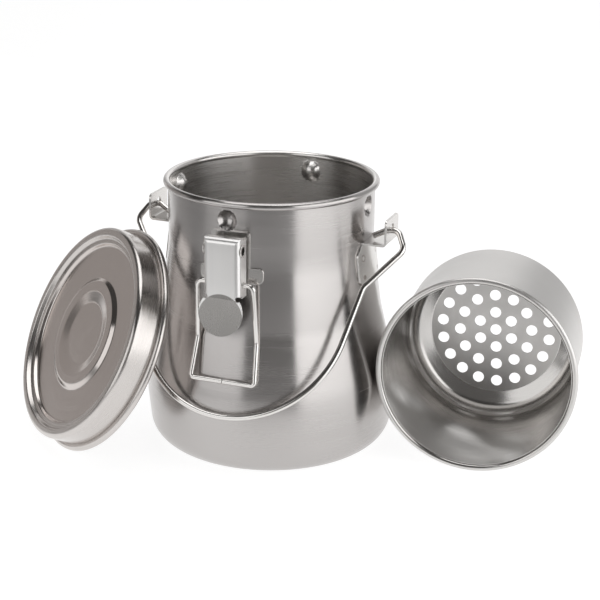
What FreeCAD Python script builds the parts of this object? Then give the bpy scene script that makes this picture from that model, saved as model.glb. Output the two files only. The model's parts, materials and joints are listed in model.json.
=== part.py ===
import FreeCAD, Part
import math
import os

os.makedirs("parts", exist_ok=True)
V = FreeCAD.Vector

# Stainless milk pail with bail, two toggle latches, clamp lid and drop-in strainer.
# Millimetres.  Origin: centre of the pail's flat base, on the floor.  +Z up.
# The latches are on the -Y and +Y sides, the bail ears on the -X and +X sides.

# pail
SHEET = 0.8                 # sheet thickness
NECK_R = 70.0               # outside radius of the neck
BELLY_R = 86.4              # largest outside radius
FOOT_R = 82.9               # where wall and floor would meet without the corner
RIM_BEAD_R = 2.3            # rolled rim, radius of the roll
RIM_TOP = 185.0
RIM_CENTRE_R = NECK_R + 0.8
DIMPLE_R = 6.6              # radius of the pressed dimples in the neck
DIMPLE_DEPTH = 4.6
DIMPLE_Z = 172.0

# bail and its ears
BAIL_WIRE_R = 2.0
BAIL_Z = 156.5              # height of the hinge axis
BAIL_LEAN = math.radians(38.5)   # angle from straight down, resting on the flare
EAR_SHEET = 1.4
EAR_X = 85.5                # mid plane of the upright tab
EAR_HALF = 12.8
EAR_TOP = 165.8
EAR_PLATE_HALF = 19.0        # half width of the plate on the wall
EAR_SHELF_Z = 148.5

# toggle latch, drawn on the -Y side
PIVOT_Y, PIVOT_Z = -80.2, 156.1
LOOP_Y, LOOP_Z = -79.0, 133.0
LEVER_SHEET = 1.0
LEVER_HALF = 12.6          # half the outside width of the channel
LEVER_FRONT_Y = -85.6
THUMB_R = 15.3
THUMB_Z = 115.0
THUMB_TILT = 10.0           # degrees, lower edge outward
PIN_R = 3.3
LOOP_WIRE_R = 1.65
RUN_GAP = 0.05              # radial running clearance of every pivot

# lid
LID_SKIRT_R = 75.1
LID_HEIGHT = 19.5           # edge roll centre to top of the raised rim
LID_PANEL = 13.5            # edge roll centre to the recessed panel
LID_BEAD_R = 2.4
LID_BEAD_CENTRE_R = 77.0
LID_AT = (-104.3, -53.9)    # edge roll centre, over the floor
LID_AZIMUTH = math.radians(-129.6)
LID_LEAN = math.radians(26.6)

# strainer
CUP_SHEET = 0.7
CUP_R = 63.2
CUP_DISC_R = 47.0           # flat perforated bottom, up to its edge bend
CUP_CORNER = 14.0
CUP_CORNER_Z = 6.5          # where the sloped edge and the wall would meet
CUP_WALL_FROM = 16.0        # start of the straight wall
CUP_DEPTH = 104.5           # plate to rim roll centre
CUP_BEAD_R = 2.1
CUP_BEAD_CENTRE_R = 65.0
HOLE_R = 4.0
HOLE_PITCH = 12.9
HOLE_PHASE = math.radians(4.0)
HOLE_RINGS = 3
CUP_AT = (150.2, -12.0)     # rim roll centre, over the floor
CUP_AZIMUTH = math.radians(-83.4)


def rounded(points, closed=False):
    """Edges through (vector, corner radius) pairs, each corner turned into a tangent arc."""
    pts = [V(p) for p, _ in points]
    radii = [r for _, r in points]
    n = len(pts)
    first, last, middle = [], [], []
    for i, p in enumerate(pts):
        if radii[i] <= 0 or (not closed and i in (0, n - 1)):
            first.append(p), last.append(p), middle.append(None)
            continue
        a = (pts[i - 1] - p).normalize()
        b = (pts[(i + 1) % n] - p).normalize()
        half = a.getAngle(b) / 2
        reach = radii[i] / math.tan(half)
        centre = p + (a + b).normalize() * (radii[i] / math.sin(half))
        first.append(p + a * reach)
        last.append(p + b * reach)
        middle.append(centre + (p - centre).normalize() * radii[i])
    edges = []
    for i in range(n):
        if middle[i] is not None:
            edges.append(Part.Arc(first[i], middle[i], last[i]).toShape())
        j = i + 1
        if j == n and not closed:
            break
        if last[i].distanceToPoint(first[j % n]) > 1e-5:
            edges.append(Part.LineSegment(last[i], first[j % n]).toShape())
    return edges


def beside(path, t):
    """A path of (r, z, corner) moved t to its left, corners kept concentric."""
    out = []
    for i, (r, z, c) in enumerate(path):
        dirs = []
        for a, b in ((i - 1, i), (i, i + 1)):
            if a >= 0 and b < len(path):
                d = V(path[b][0] - path[a][0], path[b][1] - path[a][1], 0)
                dirs.append(d.normalize())
        left = [V(-d.y, d.x, 0) for d in dirs]
        step = left[0] if len(left) == 1 else (left[0] + left[1]) * (1 / (1 + left[0].dot(left[1])))
        turn = 0 if len(dirs) == 1 else math.copysign(1, dirs[0].cross(dirs[1]).z)
        out.append((r + t * step.x, z + t * step.y, c - t * turn if c else 0))
    return out


def path_edges(path):
    return rounded([(V(r, 0, z), c) for r, z, c in path])


def lathe(outer, inner):
    """Solid of revolution between two open paths."""
    a, b = path_edges(outer), path_edges(inner)
    ends = []
    for p, q in ((outer[0], inner[0]), (outer[-1], inner[-1])):
        ends.append(Part.LineSegment(V(p[0], 0, p[1]), V(q[0], 0, q[1])).toShape())
    wire = Part.Wire(Part.sortEdges(a + b + ends)[0])
    return Part.Face(wire).revolve(V(0, 0, 0), V(0, 0, 1), 360)


def wire_rod(points, radius):
    """Round wire bent through (vector, bend radius) pairs."""
    edges = rounded(points)
    spine = Part.Wire(Part.sortEdges(edges)[0])
    start = points[0][0]
    along = (points[1][0] - start).normalize()
    disc = Part.Wire(Part.makeCircle(radius, start, along))
    return spine.makePipeShell([disc], True, False)


def bar(radius, length, centre, axis):
    """Cylinder centred on a point."""
    d = V(axis).normalize()
    return Part.makeCylinder(radius, length, V(centre) - d * (length / 2), d)


def ring(radius, tube, z):
    return Part.makeTorus(radius, tube, V(0, 0, z))


def prism(points, depth, direction):
    """Rounded outline given as (vector, corner) pairs, pushed depth along direction."""
    face = Part.Face(Part.Wire(Part.sortEdges(rounded(points, True))[0]))
    return face.extrude(V(direction).normalize() * depth)


def mirrored(points):
    """A half path from the mirror plane X = 0 outward, continued on the other side."""
    return [(V(-p.x, p.y, p.z), c) for p, c in reversed(points)] + list(points)


def posed(shape, centre, azimuth, elevation, back):
    """Local +Z turned to azimuth and elevation; the point `back` up the local axis lands on centre."""
    n = V(math.cos(elevation) * math.cos(azimuth), math.cos(elevation) * math.sin(azimuth),
          math.sin(elevation))
    turn = FreeCAD.Rotation(V(0, 0, 1), math.degrees(azimuth)).multiply(
        FreeCAD.Rotation(V(0, 1, 0), 90 - math.degrees(elevation)))
    shape = shape.copy()
    shape.Placement = FreeCAD.Placement(V(centre) - n * back, turn)
    return shape


# outside of the pail wall, from the centre of the base to the rim
PAIL_PATH = [
    (0, 0, 0), (FOOT_R, 0, 17.0), (BELLY_R, 34, 80.0), (BELLY_R, 50, 90.0),
    (75.8, 97, 60.0), (NECK_R, 141, 120.0), (NECK_R, RIM_TOP - RIM_BEAD_R, 0)]


def pail_skin(low, high):
    """Band hugging the outside of the pail, between two distances from its wall."""
    return lathe(beside(PAIL_PATH, -high)[1:], beside(PAIL_PATH, -low)[1:])


def can_body():
    body = lathe(PAIL_PATH, beside(PAIL_PATH, SHEET))
    body = body.fuse(ring(RIM_CENTRE_R, RIM_BEAD_R, RIM_TOP - RIM_BEAD_R))
    ball = (DIMPLE_R ** 2 + DIMPLE_DEPTH ** 2) / (2 * DIMPLE_DEPTH)
    reach = NECK_R - DIMPLE_DEPTH + ball
    inside = Part.makeCylinder(NECK_R - SHEET / 2, 40, V(0, 0, DIMPLE_Z - 20))
    for k in range(4):
        a = math.radians(90 * k - 2)
        at = V(reach * math.cos(a), reach * math.sin(a), DIMPLE_Z)
        body = body.fuse(Part.makeSphere(ball + SHEET, at).common(inside))
        body = body.cut(Part.makeSphere(ball, at))
    return body


def bail_ear():
    """Ear on the +X side: curved plate on the wall, shelf, upright tab with the bail hole."""
    low, high, half = 120.6, EAR_SHELF_Z + EAR_SHEET / 2, EAR_PLATE_HALF
    outline = [(V(60, -half + 3, low), 1.5), (V(60, half - 3, low), 1.5), (V(60, half, low + 3), 1.5),
               (V(60, half, high - 8), 4), (V(60, EAR_HALF, high), 3),
               (V(60, -EAR_HALF, high), 3), (V(60, -half, high - 8), 4), (V(60, -half, low + 3), 1.5)]
    plate = pail_skin(0.03, EAR_SHEET).common(prism(outline, 20, (1, 0, 0)))
    strap = [(60, EAR_SHELF_Z, 0), (EAR_X, EAR_SHELF_Z, 2.2), (EAR_X, EAR_TOP + 1, 0)]
    half_t = EAR_SHEET / 2
    left, right = beside(strap, half_t), beside(strap, -half_t)
    loop = [(V(r, -EAR_HALF, z), c) for r, z, c in left + list(reversed(right))]
    bent = prism(loop, 2 * EAR_HALF, (0, 1, 0))
    tab = [(V(60, -EAR_HALF, 140), 0), (V(60, EAR_HALF, 140), 0), (V(60, EAR_HALF, EAR_TOP), 3.2),
           (V(60, -EAR_HALF, EAR_TOP), 3.2)]
    bent = bent.common(prism(tab, 40, (1, 0, 0)))
    bent = bent.cut(pail_skin(-2, 0.03)).cut(Part.makeCylinder(NECK_R - 1, 80, V(0, 0, 120)))
    ear = plate.fuse(bent).removeSplitter()
    ear = ear.cut(bar(2.9, 12, (EAR_X, 0, BAIL_Z + 1.7), (1, 0, 0)))
    return ear.cut(bar(BAIL_WIRE_R + RUN_GAP, 12, (EAR_X, 0, BAIL_Z), (1, 0, 0)))


def bail_handle():
    """Wire bail: ends through the ear tabs, curled, then a half-round grip in front."""
    grip_r, grip_t = 71.0, 72.5
    kink_x, kink_t = 75.8, 42.5
    reach = math.hypot(kink_x, kink_t - grip_t)
    touch = math.atan2(kink_t - grip_t, kink_x) + math.acos(grip_r / reach)
    low = grip_t + grip_r
    slope_x, slope_t = -math.sin(touch), math.cos(touch)
    corner_x = kink_x + slope_x * (low - kink_t) / slope_t
    half = [(corner_x, low, grip_r), (kink_x, kink_t, 10), (97.4, 13.0, 7), (90.6, 0, 6),
            (83.4, 0, 4), (74.0, 5.6, 0)]
    points = [(V(x, -t * math.sin(BAIL_LEAN), BAIL_Z - t * math.cos(BAIL_LEAN)), c)
              for x, t, c in half]
    return wire_rod(mirrored(points), BAIL_WIRE_R)


def latch_base():
    """Plate welded to the neck with two lugs that carry the pivot pin."""
    low, high = 131.5, 165.5
    half, wing, wing_top = 13.6, 22.0, 141.5
    outline = [(V(wing, -60, low), 3), (V(wing, -60, wing_top), 3), (V(half, -60, wing_top), 0),
               (V(half, -60, high), 2)]
    outline += [(V(-p.x, p.y, p.z), c) for p, c in reversed(outline)]
    sheet = 1.2
    base = pail_skin(0.03, sheet).common(prism(outline, 20, (0, -1, 0)))
    lug = [(V(0, PIVOT_Y - 4.1, PIVOT_Z - 4), 3), (V(0, PIVOT_Y - 4.1, PIVOT_Z + 4.1), 4),
           (V(0, PIVOT_Y + 4.1, PIVOT_Z + 4.1), 4), (V(0, PIVOT_Y + 4.4, PIVOT_Z - 3.9), 2),
           (V(0, -60, PIVOT_Z - 4.5), 0), (V(0, -60, PIVOT_Z - 18), 0),
           (V(0, PIVOT_Y + 6, PIVOT_Z - 15), 3)]
    inner = LEVER_HALF - LEVER_SHEET - 1.4
    for side in (-1, 1):
        cheek = prism([(p + V(side * inner, 0, 0), c) for p, c in lug], sheet, (-side, 0, 0))
        base = base.fuse(cheek.cut(Part.makeCylinder(NECK_R + sheet / 2, 80, V(0, 0, 120))))
    return base.cut(bar(PIN_R + RUN_GAP, 40, (0, PIVOT_Y, PIVOT_Z), (1, 0, 0)))


def latch_pin():
    """Hollow rivet through lever and lugs, with a turned-out edge at both ends."""
    length = 2 * (LEVER_HALF + 0.6)
    pin = bar(PIN_R, length, (0, PIVOT_Y, PIVOT_Z), (1, 0, 0))
    for side in (-1, 1):
        pin = pin.fuse(bar(PIN_R + 0.9, 0.5, (side * (LEVER_HALF + 0.35), PIVOT_Y, PIVOT_Z), (1, 0, 0)))
    return pin.cut(bar(PIN_R - 0.5, length + 2, (0, PIVOT_Y, PIVOT_Z), (1, 0, 0)))


def rounded_box(x, y0, y1, z0, z1, r):
    """Box with rounded front edges and a rounded top front edge."""
    box = Part.makeBox(2 * x, y1 - y0, z1 - z0, V(-x, y0, z0))
    picked = []
    for e in box.Edges:
        c = e.CenterOfMass
        front = abs(c.y - y0) < 1e-6
        if front and (abs(abs(c.x) - x) < 1e-6 or abs(c.z - z1) < 1e-6):
            picked.append(e)
    return box.makeFillet(r, picked)


def latch_lever():
    """Channel lever with a rounded top and a flat round thumb disc below, bent outward."""
    low, top, back = 124.5, PIVOT_Z + 8.3, -73.9
    t = LEVER_SHEET
    shell = rounded_box(LEVER_HALF, LEVER_FRONT_Y, back, low, top, 3.6)
    shell = shell.cut(rounded_box(LEVER_HALF - t, LEVER_FRONT_Y + t, back + 5, low - 5, top - t, 2.2))
    shell = shell.cut(Part.makeBox(60, 20, 20, V(-30, PIVOT_Y + 0.8, PIVOT_Z + 6.6)))
    keep = bar(8.6, 60, (0, PIVOT_Y, PIVOT_Z), (1, 0, 0))
    keep = keep.fuse(Part.makeBox(60, 40, 40, V(-30, PIVOT_Y - 20, PIVOT_Z - 40)))
    shell = shell.common(keep)
    disc = bar(THUMB_R, t, (0, LEVER_FRONT_Y + t / 2, THUMB_Z), (0, 1, 0))
    disc = disc.cut(Part.makeBox(60, 10, 60, V(-30, LEVER_FRONT_Y - 5, low)))
    neck = Part.makeBox(19.0, t, 4.5, V(-9.5, LEVER_FRONT_Y, low - 4))
    thumb = disc.fuse(neck)
    thumb.rotate(V(0, LEVER_FRONT_Y + t / 2, low), V(1, 0, 0), -THUMB_TILT)
    bridge = Part.makeBox(19.0, t, 2.5, V(-9.5, LEVER_FRONT_Y, low))
    bend = bar(t / 2, 19.0, (0, LEVER_FRONT_Y + t / 2, low), (1, 0, 0))
    lever = shell.fuse([thumb, bridge, bend]).removeSplitter()
    for side in (-1, 1):
        lever = lever.cut(bar(1.6, 8, (side * 11.1, LEVER_FRONT_Y + 1, low + 0.4), (0, 1, 0)))
    lever = lever.cut(bar(PIN_R + RUN_GAP, 40, (0, PIVOT_Y, PIVOT_Z), (1, 0, 0)))
    return lever.cut(bar(LOOP_WIRE_R + RUN_GAP, 40, (0, LOOP_Y, LOOP_Z), (1, 0, 0)))


def latch_loop():
    """Wire loop: straight bar through the lever, two legs, cranked lower end, butt joint below."""
    half = [(V(0.15, -84.9, 67.4), 0), (V(22.5, -84.9, 67.4), 2.4), (V(20.7, -76.4, 93.8), 7),
            (V(19.4, LOOP_Y, LOOP_Z), 3.6), (V(0, LOOP_Y, LOOP_Z), 0)]
    points = half[:-1] + [(V(-p.x, p.y, p.z), c) for p, c in reversed(half[:-1])]
    return wire_rod(points, LOOP_WIRE_R)


def lid_shell():
    """Over-fitting cap: raised rim, two steps down to a flat panel with a pressed ring."""
    path = [(0, LID_PANEL, 0), (22.0, LID_PANEL, 9), (30.0, LID_PANEL + 2.2, 7),
            (36.5, LID_PANEL + 2.2, 3.5), (40.0, LID_PANEL, 3), (62.6, LID_PANEL, 1.6),
            (64.0, LID_PANEL + 2.8, 1.1), (67.0, LID_PANEL + 2.8, 1.1), (68.8, LID_HEIGHT, 1.5),
            (LID_SKIRT_R, LID_HEIGHT, 3.2), (LID_SKIRT_R, 0, 0)]
    shell = lathe(path, beside(path, -SHEET))
    return shell.fuse(ring(LID_BEAD_CENTRE_R, LID_BEAD_R, 0))


def lid_seal():
    """Soft ring under the raised rim of the lid."""
    top = LID_HEIGHT - SHEET - 0.12
    corners = [(69.8, top), (72.6, top), (72.6, top - 2.4), (69.8, top - 2.4)]
    edges = rounded([(V(r, 0, z), 0.8) for r, z in corners], True)
    return Part.Face(Part.Wire(Part.sortEdges(edges)[0])).revolve(V(0, 0, 0), V(0, 0, 1), 360)


def strainer():
    """Deep cup with a rolled rim and a perforated flat bottom."""
    path = [(0, 0, 0), (CUP_DISC_R, 0, 2.5), (CUP_R, CUP_CORNER_Z, CUP_CORNER), (CUP_R, CUP_DEPTH, 0)]
    cup = lathe(path, beside(path, CUP_SHEET)).fuse(ring(CUP_BEAD_CENTRE_R, CUP_BEAD_R, CUP_DEPTH))
    holes = [Part.makeCylinder(HOLE_R, 6, V(0, 0, -3))]
    for k in range(1, HOLE_RINGS + 1):
        for i in range(6 * k):
            a = 2 * math.pi * i / (6 * k) + HOLE_PHASE
            at = V(k * HOLE_PITCH * math.cos(a), k * HOLE_PITCH * math.sin(a), -3)
            holes.append(Part.makeCylinder(HOLE_R, 6, at))
    return cup.cut(Part.makeCompound(holes))


def write(name, shape):
    solids = shape.Solids
    if len(solids) != 1:
        raise RuntimeError("%s has %d solids" % (name, len(solids)))
    solids[0].exportStep("parts/%s.step" % name)


def half_turn(shape):
    shape = shape.copy()
    shape.rotate(V(0, 0, 0), V(0, 0, 1), 180)
    return shape


write("can_body", can_body())
ear = bail_ear()
write("bail_ear_right", ear)
write("bail_ear_left", half_turn(ear))
write("bail_handle", bail_handle())

for part, make in (("base", latch_base), ("pin", latch_pin), ("lever", latch_lever), ("loop", latch_loop)):
    shape = make()
    write("front_latch_" + part, shape)
    write("rear_latch_" + part, half_turn(shape))

lid_height = LID_BEAD_CENTRE_R * math.cos(LID_LEAN) + LID_BEAD_R
for name, make in (("lid_shell", lid_shell), ("lid_seal", lid_seal)):
    write(name, posed(make(), (LID_AT[0], LID_AT[1], lid_height), LID_AZIMUTH, LID_LEAN, 0))

# the strainer lies on its rim roll and on the start of its bottom corner
along = CUP_DEPTH - CUP_WALL_FROM
across = CUP_BEAD_CENTRE_R - CUP_R
cup_tilt = math.asin(CUP_BEAD_R / math.hypot(along, across)) + math.atan2(across, along)
cup_height = CUP_BEAD_CENTRE_R * math.cos(cup_tilt) + CUP_BEAD_R
cup_at = (CUP_AT[0], CUP_AT[1], cup_height)
write("strainer_body", posed(strainer(), cup_at, CUP_AZIMUTH, cup_tilt, CUP_DEPTH))
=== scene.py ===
import json
import math
import bpy
import bmesh
from mathutils import Matrix, Vector


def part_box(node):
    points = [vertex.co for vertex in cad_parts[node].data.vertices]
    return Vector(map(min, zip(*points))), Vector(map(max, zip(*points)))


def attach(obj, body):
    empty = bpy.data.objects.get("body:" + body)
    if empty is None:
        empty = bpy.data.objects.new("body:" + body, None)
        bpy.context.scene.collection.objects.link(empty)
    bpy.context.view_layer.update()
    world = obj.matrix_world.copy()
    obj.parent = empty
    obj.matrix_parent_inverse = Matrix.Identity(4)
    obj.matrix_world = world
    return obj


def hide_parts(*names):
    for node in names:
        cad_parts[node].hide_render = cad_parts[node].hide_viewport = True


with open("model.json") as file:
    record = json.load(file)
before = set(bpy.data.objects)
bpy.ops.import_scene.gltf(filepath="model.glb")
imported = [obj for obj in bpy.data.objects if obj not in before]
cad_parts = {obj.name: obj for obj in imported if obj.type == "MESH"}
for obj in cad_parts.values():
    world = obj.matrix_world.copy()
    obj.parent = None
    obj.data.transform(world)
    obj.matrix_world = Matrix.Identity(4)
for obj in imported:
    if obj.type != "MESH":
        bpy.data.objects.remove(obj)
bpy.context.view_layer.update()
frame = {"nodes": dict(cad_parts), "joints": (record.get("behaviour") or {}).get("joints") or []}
scene = bpy.context.scene
MM = 0.001

# sizes shared with the CAD source, in millimetres
SHEET, NECK_R, RIM_R, RIM_ROLL, RIM_Z = 0.8, 70.0, 70.8, 2.3, 182.7
PAIL_PATH = [(0, 0, 0), (82.9, 0, 17.0), (86.4, 34, 80.0), (86.4, 50, 90.0), (75.8, 97, 60.0),
             (70.0, 141, 120.0), (70.0, RIM_Z, 0)]
DIMPLE_R, DIMPLE_DEPTH, DIMPLE_Z = 6.6, 4.6, 172.0
LID_PATH = [(0, 13.5, 0), (22.0, 13.5, 9), (30.0, 15.7, 7), (36.5, 15.7, 3.5), (40.0, 13.5, 3),
            (62.6, 13.5, 1.6), (64.0, 16.3, 1.1), (67.0, 16.3, 1.1), (68.8, 19.5, 1.5),
            (75.1, 19.5, 3.2), (75.1, 0, 0)]
LID_ROLL_R, LID_ROLL = 77.0, 2.4
CUP_SHEET, CUP_R, CUP_CORNER, CUP_DEPTH, CUP_ROLL_R, CUP_ROLL = 0.7, 63.2, 14.0, 104.5, 65.0, 2.1
HOLE_R, HOLE_PITCH, HOLE_PHASE = 4.0, 12.9, math.radians(4.0)
CUP_DISC_R, CUP_CORNER_Z, CUP_WALL_FROM = 47.0, 6.5, 16.0
BAIL_WIRE_R, BAIL_Z, BAIL_LEAN = 2.0, 156.5, math.radians(38.5)
LOOP_WIRE_R = 1.65

# how finely the round pieces are cut, and sizes that only the looks have, in millimetres
AROUND, HOLE_SIDES = 200, 36
HOLE_EDGE, FLAT_R = 0.18, 44.6


# ---------------------------------------------------------------- paths and meshes
def sampled(points, step=3.0, reach=2.5, straight=6.0):
    """Points along a path of (vector, corner radius) pairs, its corners turned into arcs."""
    pts = [Vector(p) for p, _ in points]
    out = []

    def run(a, b):
        length = (b - a).length
        if length < 1e-6:
            return
        stops = [0.0, 0.6 / length, 1 - 0.6 / length, 1.0] if length > 3 else [0.0, 1.0]
        fine = [stops[0]]
        for s, e in zip(stops, stops[1:]):
            n = max(1, math.ceil((e - s) * length / straight))
            fine += [s + (e - s) * k / n for k in range(1, n + 1)]
        for s in fine:
            q = a.lerp(b, s)
            if not out or (q - out[-1]).length > 1e-5:
                out.append(q)

    last = pts[0]
    for i in range(1, len(pts)):
        r = points[i][1]
        if r <= 0 or i == len(pts) - 1:
            run(last, pts[i])
            last = pts[i]
            continue
        p = pts[i]
        a = (pts[i - 1] - p).normalized()
        b = (pts[i + 1] - p).normalized()
        half = a.angle(b) / 2
        centre = p + (a + b).normalized() * (r / math.sin(half))
        first, end = p + a * (r / math.tan(half)), p + b * (r / math.tan(half))
        run(last, first)
        turn = math.pi - 2 * half
        n = max(3, math.ceil(math.degrees(turn) / step), math.ceil(turn * r / reach))
        spin = a.cross(b).normalized()
        for k in range(1, n + 1):
            q = Matrix.Rotation(-turn * k / n, 3, spin) @ (first - centre) + centre
            out.append(q)
        last = end
    return out


def beside(path, t):
    """A path of (r, z, corner) moved t to its left, corners kept concentric."""
    out = []
    for i, (r, z, c) in enumerate(path):
        dirs = []
        for a, b in ((i - 1, i), (i, i + 1)):
            if a >= 0 and b < len(path):
                dirs.append(Vector((path[b][0] - path[a][0], path[b][1] - path[a][1])).normalized())
        left = [Vector((-d.y, d.x)) for d in dirs]
        move = left[0] if len(left) == 1 else (left[0] + left[1]) / (1 + left[0].dot(left[1]))
        turn = 0
        if len(dirs) == 2:
            turn = math.copysign(1, dirs[0].x * dirs[1].y - dirs[0].y * dirs[1].x)
        out.append((r + t * move.x, z + t * move.y, c - t * turn if c else 0))
    return out


def profile(path, **kw):
    return [(p.x, p.z) for p in sampled([(Vector((r, 0, z)), c) for r, z, c in path], **kw)]


def roll(cr, cz, radius, start, end, step=11.0):
    """Points round a rolled edge from one angle to another, in degrees."""
    n = max(2, math.ceil(abs(end - start) / step))
    angles = [math.radians(start + (end - start) * k / n) for k in range(n + 1)]
    return [(cr + radius * math.cos(a), cz + radius * math.sin(a)) for a in angles]


def joins(cr, cz, radius, wall_r, sign=-1):
    """Height and angle, in degrees, at which a wall meets a rolled edge.
    sign: -1 where it meets the edge below the middle of the roll, 1 where it is above."""
    rise = sign * math.sqrt(radius ** 2 - (wall_r - cr) ** 2)
    return cz + rise, math.degrees(math.atan2(rise, wall_r - cr))


def shade(bm, sharp=32.0):
    bmesh.ops.recalc_face_normals(bm, faces=bm.faces)
    for f in bm.faces:
        f.smooth = True
    for e in bm.edges:
        e.smooth = not (len(e.link_faces) == 2 and e.calc_face_angle(0.0) > math.radians(sharp))


def finish_mesh(bm, name, material, matrix=None, sharp=32.0):
    shade(bm, sharp)
    mesh = bpy.data.meshes.new(name)
    bm.to_mesh(mesh)
    bm.free()
    mesh.transform(Matrix.Scale(MM, 4))
    if matrix is not None:
        mesh.transform(matrix)
    piece = bpy.data.objects.new(name, mesh)
    scene.collection.objects.link(piece)
    mesh.materials.append(material)
    return piece


def revolve(bm, line, angles, bend=None):
    """Skin a line of (r, z) points round the axis. `bend` may move a point's radius."""
    rows = []
    for k, (r, z) in enumerate(line):
        if r < 1e-6:
            rows.append([bm.verts.new((0, 0, z))])
            continue
        row = []
        for a in angles:
            rr = bend(k, r, z, a) if bend else r
            row.append(bm.verts.new((rr * math.cos(a), rr * math.sin(a), z)))
        rows.append(row)
    n = len(angles)
    for lo, hi in zip(rows, rows[1:]):
        for i in range(n):
            j = (i + 1) % n
            ring = [lo[i % len(lo)], lo[j % len(lo)], hi[j % len(hi)], hi[i % len(hi)]]
            face = []
            for v in ring:
                if v not in face:
                    face.append(v)
            if len(face) > 2:
                bm.faces.new(face)
    return rows


def even(n):
    return [2 * math.pi * k / n for k in range(n)]


def join_rings(bm, lo, hi):
    for i in range(len(lo)):
        j = (i + 1) % len(lo)
        bm.faces.new((lo[i], lo[j], hi[j], hi[i]))


def tube(name, points, radius, material, around=24):
    """Round wire along a path of (vector, bend radius) pairs."""
    line = sampled(points, step=5.0, reach=1.6, straight=8.0)
    bm = bmesh.new()
    tangents = []
    for i in range(len(line)):
        a, b = line[max(0, i - 1)], line[min(len(line) - 1, i + 1)]
        tangents.append((b - a).normalized())
    side = tangents[0].orthogonal().normalized()
    stations = []
    for i, (p, t) in enumerate(zip(line, tangents)):
        side = (side - t * side.dot(t)).normalized()
        stations.append((p, t, side.copy(), radius))
    soft = radius * 0.22
    (p, t, s, _), (q, v, w, _) = stations[0], stations[-1]
    stations = [(p, t, s, radius - soft), (p + t * soft, t, s, radius)] + stations[1:-1]
    stations += [(q - v * soft, v, w, radius), (q, v, w, radius - soft)]
    rings = []
    for p, t, s, r in stations:
        u = t.cross(s)
        rings.append([bm.verts.new(p + s * (r * math.cos(a)) + u * (r * math.sin(a)))
                      for a in even(around)])
    for lo, hi in zip(rings, rings[1:]):
        join_rings(bm, lo, hi)
    for ring, at in ((rings[0], stations[0][0]), (rings[-1], stations[-1][0])):
        mid = bm.verts.new(at)
        for i in range(around):
            bm.faces.new((ring[i], ring[(i + 1) % around], mid))
    return finish_mesh(bm, name, material, sharp=40.0)


def mirrored(points):
    return [(Vector((-p.x, p.y, p.z)), c) for p, c in reversed(points)] + list(points)


def centre_of(node):
    low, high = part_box(node)
    return (low + high) / 2


def settle(piece, node):
    """Shift a piece's mesh so that its box shares its CAD node's centre."""
    co = [v.co for v in piece.data.vertices]
    low = Vector([min(c[i] for c in co) for i in range(3)])
    high = Vector([max(c[i] for c in co) for i in range(3)])
    shift = centre_of(node) - (low + high) / 2
    piece.data.transform(Matrix.Translation(shift))
    return piece


# ---------------------------------------------------------------- node helpers
LOW, HIGH = 0.3, 0.7   # the range most of a noise texture's values lie in


class Tree:
    """Short names for building a material's nodes."""

    def __init__(self, name):
        self.mat = bpy.data.materials.new(name)
        self.mat.use_nodes = True
        self.nodes = self.mat.node_tree.nodes
        self.links = self.mat.node_tree.links
        self.nodes.clear()

    def put(self, socket, value):
        if isinstance(value, bpy.types.NodeSocket):
            self.links.new(value, socket)
        elif value is not None:
            socket.default_value = value

    def math(self, op, a, b=0.0):
        node = self.nodes.new("ShaderNodeMath")
        node.operation = op
        self.put(node.inputs[0], a)
        self.put(node.inputs[1], b)
        return node.outputs[0]

    def vec(self, op, a, b=(0, 0, 0), scale=None):
        node = self.nodes.new("ShaderNodeVectorMath")
        node.operation = op
        self.put(node.inputs[0], a)
        self.put(node.inputs[1], b)
        if scale is not None:
            self.put(node.inputs["Scale"], scale)
        return node.outputs["Value"] if op in ("DOT_PRODUCT", "LENGTH") else node.outputs[0]

    def noise(self, vector, scale, detail=2.0, rough=0.5):
        node = self.nodes.new("ShaderNodeTexNoise")
        self.put(node.inputs["Vector"], vector)
        node.inputs["Scale"].default_value = scale
        node.inputs["Detail"].default_value = detail
        node.inputs["Roughness"].default_value = rough
        return node.outputs["Fac"]

    def remap(self, value, a, b, lo, hi, kind="LINEAR"):
        node = self.nodes.new("ShaderNodeMapRange")
        node.interpolation_type = kind
        self.put(node.inputs["Value"], value)
        for key, v in (("From Min", a), ("From Max", b), ("To Min", lo), ("To Max", hi)):
            self.put(node.inputs[key], v)
        return node.outputs[0]

    def mix(self, fac, a, b):
        node = self.nodes.new("ShaderNodeMix")
        node.data_type = "RGBA"
        self.put(node.inputs["Factor"], fac)
        self.put(node.inputs[6], a)
        self.put(node.inputs[7], b)
        return node.outputs[2]


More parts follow.
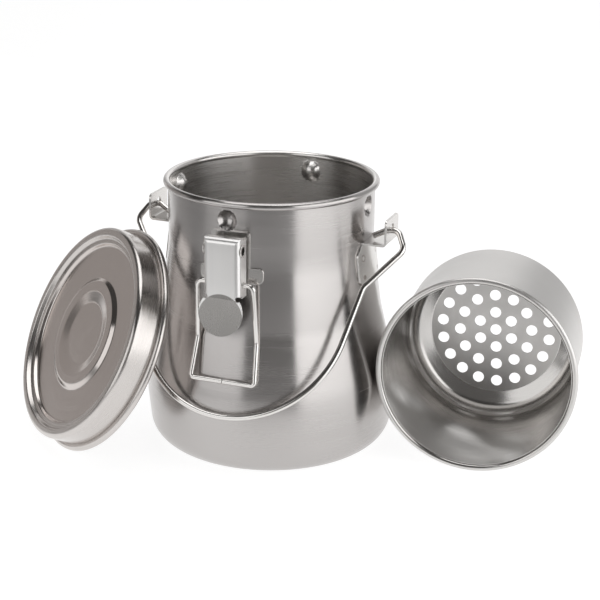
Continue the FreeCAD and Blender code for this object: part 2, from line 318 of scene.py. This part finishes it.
def steel(name, tint, rough, grain, aniso=0.0, centre=(0, 0, 0), axis=(0, 0, 1), line=None,
          smudge=0.05, bump=0.05, fine=1800.0, zones=None, inside=None, spots=(),
          patches=(), soften=0.0003):
    """Stainless steel with grain turned about an axis, or drawn along `line`.
    zones: (low radius, high radius, roughness change, tint) bands round the axis.
    inside: (roughness change, tint) for faces turned towards the axis.
    spots: (centre, radius) of round weld marks.  patches: (centre, radius, roughness change, tint).
    soften: radius of the rounded look of edges."""
    t = Tree(name)
    n = Vector(axis).normalized()
    place = t.nodes.new("ShaderNodeTexCoord").outputs["Object"]
    p = t.vec("SUBTRACT", place, tuple(centre))
    r = None
    if line is None:
        h = t.vec("DOT_PRODUCT", p, tuple(n))
        q = t.vec("SUBTRACT", p, t.vec("SCALE", tuple(n), scale=h))
        r = t.vec("LENGTH", q)
        u = t.vec("NORMALIZE", q)
        tangent = t.vec("CROSS_PRODUCT", tuple(n), u)
        travel = t.math("ADD", h, t.math("MULTIPLY", r, 1.37))
        streak = t.vec("ADD", t.vec("SCALE", u, scale=2.2),
                       t.vec("SCALE", tuple(n), scale=t.math("MULTIPLY", travel, fine)))
        broad = t.vec("ADD", t.vec("SCALE", u, scale=0.9),
                      t.vec("SCALE", tuple(n), scale=t.math("MULTIPLY", travel, fine * 0.12)))
    else:
        d = Vector(line).normalized()
        along = t.vec("DOT_PRODUCT", p, tuple(d))
        across = t.vec("SUBTRACT", p, t.vec("SCALE", tuple(d), scale=along))
        tangent = tuple(d)
        streak = t.vec("ADD", t.vec("SCALE", across, scale=fine),
                       t.vec("SCALE", tuple(d), scale=t.math("MULTIPLY", along, 25.0)))
        broad = t.vec("ADD", t.vec("SCALE", across, scale=fine * 0.15),
                      t.vec("SCALE", tuple(d), scale=t.math("MULTIPLY", along, 9.0)))
    lines = t.noise(streak, 1.0, 3.0, 0.65)
    bands = t.noise(broad, 1.0, 2.0, 0.5)
    cloud = t.noise(place, 14.0, 4.0, 0.55)
    scratched = t.remap(lines, LOW, HIGH, rough - grain * 0.5, rough + grain * 0.5)
    rough_out = t.math("ADD", scratched, t.remap(cloud, LOW, HIGH, -smudge, smudge))
    rough_out = t.math("ADD", rough_out, t.remap(bands, LOW, HIGH, -grain * 0.3, grain * 0.3))
    dark = tuple(c * (1 - 0.5 * grain) for c in tint) + (1,)
    light = tuple(min(1, c * (1 + 0.25 * grain)) for c in tint) + (1,)
    shine = t.math("ADD", lines, t.math("MULTIPLY", bands, 0.6))
    colour = t.mix(t.remap(shine, 0.5, 1.1, 0.0, 1.0), dark, light)
    # a zone's tint is painted straight into the colour; on the lid it is a painted reflection
    for lo, hi, change, shade_to in zones or ():
        band = t.math("MULTIPLY", t.remap(r, lo - 0.0004, lo + 0.0004, 0.0, 1.0),
                      t.remap(r, hi - 0.0004, hi + 0.0004, 1.0, 0.0))
        rough_out = t.math("ADD", rough_out, t.math("MULTIPLY", band, change))
        colour = t.mix(band, colour, tuple(shade_to) + (1,)) if shade_to else colour
    facing = t.nodes.new("ShaderNodeTexCoord").outputs["Normal"]
    if inside:
        inner = t.remap(t.vec("DOT_PRODUCT", facing, u), -0.25, 0.0, 1.0, 0.0)
        rough_out = t.math("ADD", rough_out, t.math("MULTIPLY", inner, inside[0]))
        colour = t.mix(inner, colour, tuple(inside[1]) + (1,))
    for at, size, change, shade_to in patches:
        away = t.vec("LENGTH", t.vec("SUBTRACT", place, tuple(at)))
        patch = t.remap(away, size - 0.0005, size, 1.0, 0.0)
        rough_out = t.math("ADD", rough_out, t.math("MULTIPLY", patch, change))
        colour = t.mix(patch, colour, tuple(shade_to) + (1,))
    height = t.math("ADD", lines, t.math("MULTIPLY", bands, 0.25))
    for at, size in spots:
        away = t.vec("LENGTH", t.vec("SUBTRACT", place, tuple(at)))
        mark = t.remap(away, size * 0.75, size, 1.0, 0.0, "SMOOTHSTEP")
        rim = t.math("MULTIPLY", mark, t.remap(away, size * 0.45, size * 0.75, 0.0, 1.0, "SMOOTHSTEP"))
        colour = t.mix(t.math("MULTIPLY", rim, 0.7), colour, (0.22, 0.18, 0.15, 1))
        rough_out = t.math("ADD", rough_out, t.math("MULTIPLY", mark, 0.10))
        height = t.math("SUBTRACT", height, t.math("MULTIPLY", mark, 3.0))
    edge = t.nodes.new("ShaderNodeBevel")
    edge.samples = 4
    edge.inputs["Radius"].default_value = soften
    true_normal = t.nodes.new("ShaderNodeNewGeometry").outputs["Normal"]
    wear = t.remap(t.vec("DOT_PRODUCT", edge.outputs[0], true_normal), 0.80, 0.99, 1.0, 0.0)
    wear = t.math("MULTIPLY", wear, t.remap(t.noise(place, 160.0, 3.0, 0.6), 0.35, 0.65, 0.2, 1.0))
    rough_out = t.math("SUBTRACT", rough_out, t.math("MULTIPLY", wear, 0.10))
    colour = t.mix(t.math("MULTIPLY", wear, 0.6), colour, (0.84, 0.83, 0.82, 1))
    relief = t.nodes.new("ShaderNodeBump")
    relief.inputs["Strength"].default_value = bump
    relief.inputs["Distance"].default_value = 0.0002
    t.put(relief.inputs["Height"], height)
    t.put(relief.inputs["Normal"], edge.outputs[0])
    shader = t.nodes.new("ShaderNodeBsdfPrincipled")
    shader.inputs["Metallic"].default_value = 1.0
    t.put(shader.inputs["Base Color"], colour)
    t.put(shader.inputs["Roughness"], t.math("MAXIMUM", rough_out, 0.03))
    t.put(shader.inputs["Normal"], relief.outputs[0])
    if aniso:
        shader.inputs["Anisotropic"].default_value = aniso
        shader.inputs["Anisotropic Rotation"].default_value = 0.25
        turn = t.nodes.new("ShaderNodeVectorTransform")
        turn.vector_type = "VECTOR"
        turn.convert_from, turn.convert_to = "OBJECT", "WORLD"
        t.put(turn.inputs[0], tangent)
        t.put(shader.inputs["Tangent"], turn.outputs[0])
    out = t.nodes.new("ShaderNodeOutputMaterial")
    t.links.new(shader.outputs[0], out.inputs["Surface"])
    return t.mat


def matt(name, colour, rough, grain, size, bump=0.1, glow=None):
    """Uncoated matt surface: clouded colour, uneven roughness and a fine pebbled relief.
    glow: a function of (tree, place) that gives the strength of light painted onto the surface as its own
    emission."""
    t = Tree(name)
    place = t.nodes.new("ShaderNodeTexCoord").outputs["Object"]
    cloud, pebble = t.noise(place, size, 4.0, 0.6), t.noise(place, size * 30, 3.0, 0.6)
    low = tuple(c * (1 - grain) for c in colour) + (1,)
    shader = t.nodes.new("ShaderNodeBsdfPrincipled")
    blotch = t.remap(cloud, LOW, HIGH, 0.0, 1.0)
    t.put(shader.inputs["Base Color"], t.mix(blotch, low, tuple(colour) + (1,)))
    t.put(shader.inputs["Roughness"], t.remap(pebble, LOW, HIGH, rough - 0.08, rough + 0.08))
    relief = t.nodes.new("ShaderNodeBump")
    relief.inputs["Strength"].default_value = bump
    relief.inputs["Distance"].default_value = 0.0002
    t.put(relief.inputs["Height"], pebble)
    t.put(shader.inputs["Normal"], relief.outputs[0])
    # painted light: emission laid onto the surface, shaped by glow
    if glow:
        shader.inputs["Emission Color"].default_value = (1, 1, 1, 1)
        t.put(shader.inputs["Emission Strength"], glow(t, place))
    out = t.nodes.new("ShaderNodeOutputMaterial")
    t.links.new(shader.outputs[0], out.inputs["Surface"])
    return t.mat


def dress(node, material):
    mesh = frame["nodes"][node].data
    if mesh.materials:
        for i in range(len(mesh.materials)):
            mesh.materials[i] = material
    else:
        mesh.materials.append(material)


lid_joint = [j for j in frame["joints"] if j["name"] == "lid_lift_off"][0]
lid_axis = Vector(lid_joint["axis"]).normalized()
lid_centre = centre_of("lid_seal")
cup_azimuth = math.radians(-83.4)
roll_out, roll_up = CUP_ROLL_R - CUP_R, CUP_DEPTH - CUP_WALL_FROM
cup_lean = math.asin(CUP_ROLL / math.hypot(roll_up, roll_out)) + math.atan2(roll_out, roll_up)
cup_flat = math.cos(cup_lean)
cup_axis = Vector((cup_flat * math.cos(cup_azimuth), cup_flat * math.sin(cup_azimuth), math.sin(cup_lean)))
cup_centre = centre_of("strainer_body")

# places on the pieces that the materials mark, in metres
WELD_X, WELD_Y, WELD_Z, WELD_R = 0.0705, 0.0125, (0.1255, 0.1385), 0.0028
DISC_Y, DISC_Z, DISC_R = 0.0870, 0.1120, 0.0157
LID_PANEL_R = 0.0640
weld_spots = [((k * WELD_X, across * WELD_Y, z), WELD_R)
              for k in (-1, 1) for across in (-1, 1) for z in WELD_Z]
thumb_discs = [((0, k * DISC_Y, DISC_Z), DISC_R, -0.04, (0.30, 0.29, 0.28)) for k in (-1, 1)]

body_steel = steel("brushed_pail", (0.50, 0.48, 0.47), 0.24, 0.06, aniso=0.80, bump=0.012,
                   smudge=0.03, fine=3200, inside=(0.04, (0.80, 0.78, 0.76)))
fitting_steel = steel("satin_fitting", (0.72, 0.70, 0.68), 0.24, 0.05, line=(0, 0, 1), fine=2600,
                      bump=0.02, spots=weld_spots, soften=0.0005)
wire_steel = steel("polished_wire", (0.74, 0.72, 0.70), 0.12, 0.06, smudge=0.03, bump=0.02)
# lid: the panel band's warmer, darker tint is a painted reflection of dark warm surroundings; its lower
# roughness is the panel's real polish
lid_steel = steel("lid_polished", (0.62, 0.59, 0.57), 0.24, 0.08, aniso=0.5, centre=lid_centre,
                  axis=lid_axis, zones=[(-0.01, LID_PANEL_R, -0.07, (0.62, 0.575, 0.55))])
cup_steel = steel("strainer_satin", (0.66, 0.645, 0.63), 0.38, 0.08, aniso=0.3, centre=cup_centre,
                  axis=cup_axis, bump=0.02, inside=(-0.20, (0.58, 0.565, 0.55)))
lever_steel = steel("satin_lever", (0.84, 0.83, 0.82), 0.30, 0.04, line=(0, 0, 1), fine=3000,
                    bump=0.015, patches=thumb_discs, soften=0.0008)
seal_mat = matt("silicone", (0.86, 0.86, 0.84), 0.50, 0.06, 90.0)

for node in frame["nodes"]:
    dress(node, seal_mat if "seal" in node else lever_steel if "lever" in node else fitting_steel)


# ---------------------------------------------------------------- pail
def pail():
    outer_z, start = joins(RIM_R, RIM_Z, RIM_ROLL, NECK_R)
    inner_z, end = joins(RIM_R, RIM_Z, RIM_ROLL, NECK_R - SHEET)
    outer = profile(PAIL_PATH[:-1] + [(NECK_R, outer_z, 0)], straight=1.2)
    inner = profile(beside(PAIL_PATH, SHEET)[:-1] + [(NECK_R - SHEET, inner_z, 0)], straight=1.2)
    bead = roll(RIM_R, RIM_Z, RIM_ROLL, start, end + 360)
    line = outer[:-1] + bead + list(reversed(inner[:-1]))
    split = len(outer) - 1 + len(bead)
    ball = (DIMPLE_R ** 2 + DIMPLE_DEPTH ** 2) / (2 * DIMPLE_DEPTH)
    reach = NECK_R - DIMPLE_DEPTH + ball
    mids = [math.radians(90 * k - 2) for k in range(4)]
    around, near, fine, zone, blend = 150, math.radians(8.5), 17, 9.5, 0.5
    angles = {round(a, 6) for a in even(around)}
    angles = {a for a in angles if all(abs(math.remainder(a - m, 2 * math.pi)) > near for m in mids)}
    for m in mids:
        for k in range(-fine, fine + 1):
            angles.add(round((m + near * k / fine) % (2 * math.pi), 6))

    def bend(k, r, z, a):
        """The wall's radius, pressed in where a ball's dent reaches it."""
        if abs(z - DIMPLE_Z) > zone or abs(r - NECK_R) > 1.0:
            return r
        best = r
        for m in mids:
            s = math.hypot(NECK_R * math.remainder(a - m, 2 * math.pi), z - DIMPLE_Z)
            size = ball if k < split else ball + SHEET
            if s < size:
                dent = reach - math.sqrt(size * size - s * s)
                both = max(blend - abs(best - dent), 0) / blend
                best = min(best, dent) - both * both * blend / 4
        return best

    bm = bmesh.new()
    revolve(bm, line, sorted(angles), bend)
    return finish_mesh(bm, "pail_body", body_steel)


piece = pail()
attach(piece, "pail")
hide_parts("can_body")


# ---------------------------------------------------------------- lid
def lid():
    wall_r = LID_PATH[-1][0]
    wall_z, start = joins(LID_ROLL_R, 0, LID_ROLL, wall_r, sign=1)
    outer = profile(LID_PATH[:-1] + [(wall_r, wall_z, 0)], straight=3.0, reach=0.8)
    inner = profile(beside(LID_PATH, -SHEET), straight=3.0, reach=0.8)
    line = outer[:-1] + roll(LID_ROLL_R, 0, LID_ROLL, start, -180.0) + list(reversed(inner))
    bm = bmesh.new()
    revolve(bm, line, even(AROUND))
    turn = Vector((0, 0, 1)).rotation_difference(lid_axis).to_matrix().to_4x4()
    return finish_mesh(bm, "lid_cap", lid_steel, turn)


piece = settle(lid(), "lid_shell")
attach(piece, "lid")
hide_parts("lid_shell")


# ---------------------------------------------------------------- strainer
def hole_centres():
    spots = [(0.0, 0.0)]
    for k in (1, 2, 3):
        for i in range(6 * k):
            a = 2 * math.pi * i / (6 * k) + HOLE_PHASE
            spots.append((k * HOLE_PITCH * math.cos(a), k * HOLE_PITCH * math.sin(a)))
    return spots


def circle(bm, x, y, z, radius):
    return [bm.verts.new((x + radius * math.cos(a), y + radius * math.sin(a), z)) for a in even(HOLE_SIDES)]


def cup():
    """The cup with its bottom on the XY plane. The bottom is filled inside FLAT_R, round the holes."""
    path = [(FLAT_R, 0, 0), (CUP_DISC_R, 0, 2.5), (CUP_R, CUP_CORNER_Z, CUP_CORNER),
            (CUP_R, CUP_DEPTH, 0)]
    wall_z, start = joins(CUP_ROLL_R, CUP_DEPTH, CUP_ROLL, CUP_R)
    outer = profile(path[:-1] + [(CUP_R, wall_z, 0)], straight=4.0, reach=1.2)
    inner = profile(beside(path, CUP_SHEET), straight=4.0, reach=1.2)
    line = outer[:-1] + roll(CUP_ROLL_R, CUP_DEPTH, CUP_ROLL, start, 180.0) + list(reversed(inner))
    bm = bmesh.new()
    rows = revolve(bm, line, even(AROUND))
    soft = HOLE_EDGE
    rims = []
    for ring, z, sign in ((rows[0], 0.0, 1), (rows[-1], CUP_SHEET, -1)):
        edges = [bm.edges.get((ring[i], ring[(i + 1) % AROUND])) for i in range(AROUND)]
        circles = []
        for x, y in hole_centres():
            loop = circle(bm, x, y, z, HOLE_R + soft)
            edges += [bm.edges.new((loop[i], loop[(i + 1) % HOLE_SIDES])) for i in range(HOLE_SIDES)]
            circles.append(loop)
        rims.append(circles)
        bmesh.ops.triangle_fill(bm, use_beauty=True, edges=edges)
    for (x, y), low, high in zip(hole_centres(), rims[0], rims[1]):
        walls = [low] + [circle(bm, x, y, z, HOLE_R) for z in (soft, CUP_SHEET - soft)] + [high]
        for lo, hi in zip(walls, walls[1:]):
            join_rings(bm, lo, hi)
    turn = Matrix.Rotation(cup_azimuth, 4, "Z") @ Matrix.Rotation(math.pi / 2 - cup_lean, 4, "Y")
    return finish_mesh(bm, "strainer_cup", cup_steel, turn)


piece = settle(cup(), "strainer_body")
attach(piece, "strainer")
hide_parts("strainer_body")


# ---------------------------------------------------------------- bail and loops
def bail():
    """The wire in its own plane, x across and t down from the hinge, then leaned forward.
    The grip is an arc, and a straight run touches it from the kink."""
    grip_r, grip_t, kink_x, kink_t = 71.0, 72.5, 75.8, 42.5
    reach = math.hypot(kink_x, kink_t - grip_t)
    touch = math.atan2(kink_t - grip_t, kink_x) + math.acos(grip_r / reach)
    low = grip_t + grip_r
    corner_x = kink_x - math.sin(touch) * (low - kink_t) / math.cos(touch)
    half = [(corner_x, low, grip_r), (kink_x, kink_t, 10), (97.4, 13.0, 7), (90.6, 0, 6),
            (83.4, 0, 4), (74.0, 5.6, 0)]
    drop, out = math.cos(BAIL_LEAN), math.sin(BAIL_LEAN)
    points = [(Vector((x, -t * out, BAIL_Z - t * drop)), c) for x, t, c in half]
    return tube("bail_wire", mirrored(points), BAIL_WIRE_R, wire_steel)


piece = settle(bail(), "bail_handle")
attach(piece, "bail")
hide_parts("bail_handle")

# from the bottom's open ends, up past the crank to the bar through the lever
half = [(Vector((0.15, -84.9, 67.4)), 0), (Vector((22.5, -84.9, 67.4)), 2.4),
        (Vector((20.7, -76.4, 93.8)), 7), (Vector((19.4, -79.0, 133.0)), 3.6)]
for where, spin in (("front", 0.0), ("rear", math.pi)):
    points = half + [(Vector((-p.x, p.y, p.z)), c) for p, c in reversed(half)]
    piece = tube(where + "_loop_wire", points, LOOP_WIRE_R, wire_steel)
    piece.data.transform(Matrix.Rotation(spin, 4, "Z"))
    settle(piece, where + "_latch_loop")
    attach(piece, where + "_loop")
    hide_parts(where + "_latch_loop")

# ---------------------------------------------------------------- floor, light, camera
# the camera's own axes, its place in metres, its lens in millimetres
right = Vector((0.9333, 0.359, 0.009))
up = Vector((-0.1263, 0.3047, 0.944))
forward = Vector((-0.3362, 0.8822, -0.3297))
CAMERA_AT, SENSOR, LENS = (0.3746, -0.9272, 0.4454), 36.0, 91.6308
side = Vector((right.x, right.y, 0)).normalized()
back = Vector((-forward.x, -forward.y, 0)).normalized()


def sweep_painted_light(t, place):
    """Painted light on the floor, as emission: a white pool under and behind the objects, painted shade to
    the sides and in front, grey further off.
    """
    ahead = t.vec("DOT_PRODUCT", place, tuple(back))
    across = t.vec("DOT_PRODUCT", place, tuple(side))
    across = t.math("MAXIMUM", t.math("MULTIPLY", across, -1.0), t.math("SUBTRACT", across, 0.38))
    spread = t.math("SUBTRACT", across, t.remap(ahead, -2.0, 0.3, 0.75, 0.20))
    beyond = t.math("SUBTRACT", t.vec("DOT_PRODUCT", place, tuple(side)), t.math("MULTIPLY", ahead, 0.42))
    wedge = t.remap(beyond, 0.0, 0.10, 0.0, 1.0, "SMOOTHSTEP")
    lateral = t.remap(spread, 0.0, 0.30, 1.0, 0.0, "SMOOTHSTEP")
    front = t.math("MAXIMUM", t.remap(ahead, 0.24, 0.50, 1.0, 0.0, "SMOOTHSTEP"), wedge)
    white = t.math("MULTIPLY", t.math("MULTIPLY", lateral, front), 0.86)
    far = t.remap(t.vec("LENGTH", place), 0.75, 1.7, 0.04, 0.42, "SMOOTHSTEP")
    return t.math("MAXIMUM", white, far)


# the floor's (y, z) outline, rising behind the objects, and half its width, in metres
SWEEP = ((-3.0, 0), (1.2, 0), (1.9, 0.08), (2.4, 0.4), (2.6, 1.0), (2.6, 3.0))
SWEEP_HALF = 4.0
bm = bmesh.new()
rows = []
for y, z in SWEEP:
    rows.append([bm.verts.new((x, y, z)) for x in (-SWEEP_HALF, SWEEP_HALF)])
for a, b in zip(rows, rows[1:]):
    bm.faces.new((a[0], a[1], b[1], b[0]))
mesh = bpy.data.meshes.new("floor")
bm.to_mesh(mesh)
floor = bpy.data.objects.new("floor", mesh)
scene.collection.objects.link(floor)
# the floor's emission is painted light: a white pool round the objects, with painted shade to the sides and
# in front
mesh.materials.append(matt("floor_painted_light", (0.30, 0.30, 0.30), 0.85, 0.02, 3.0, 0.02, sweep_painted_light))

world = bpy.data.worlds.new("studio")
scene.world = world
world.use_nodes = True
world.node_tree.nodes["Background"].inputs[0].default_value = (0.055, 0.053, 0.051, 1)
world.node_tree.nodes["Background"].inputs[1].default_value = 1.0


def softbox(name, place, aim, w, h, radiance, colour=(1, 1, 1)):
    data = bpy.data.lights.new(name, "AREA")
    data.shape = "RECTANGLE"
    data.size, data.size_y = w, h
    data.energy = math.pi * w * h * radiance
    data.color = colour
    lamp = bpy.data.objects.new(name, data)
    scene.collection.objects.link(lamp)
    lamp.location = place
    lamp.rotation_euler = (Vector(aim) - Vector(place)).to_track_quat("-Z", "Y").to_euler()


def around(angle, distance, height):
    """A place at an angle from the camera side, positive to the camera's right."""
    a = math.radians(angle)
    return (back * math.cos(a) + side * math.sin(a)) * distance + Vector((0, 0, height))


softbox("key_right", around(60, 0.95, 0.42), (0, 0, 0.40), 1.40, 0.82, 1.7)
softbox("key_left", around(-48, 1.0, 0.45), (0, 0, 0.40), 0.90, 0.8, 1.15)
softbox("front_dim", around(-2, 1.5, 0.5), (0, 0, 0.45), 1.1, 1.1, 0.08, (1.0, 0.97, 0.95))
softbox("left_warm", around(-121, 1.3, 0.25), (0, 0, 0.20), 1.3, 1.1, 0.34, (1.0, 0.94, 0.91))
softbox("top", (0, 0.1, 1.6), (0, 0, 0.1), 1.4, 1.4, 1.8)

cam_data = bpy.data.cameras.new("camera")
cam_data.sensor_width = SENSOR
cam_data.lens = LENS
camera = bpy.data.objects.new("camera", cam_data)
scene.collection.objects.link(camera)
rot = Matrix((right, up, -forward)).transposed().to_4x4()
camera.matrix_world = Matrix.Translation(CAMERA_AT) @ rot
scene.camera = camera
scene.view_settings.view_transform = "Standard"
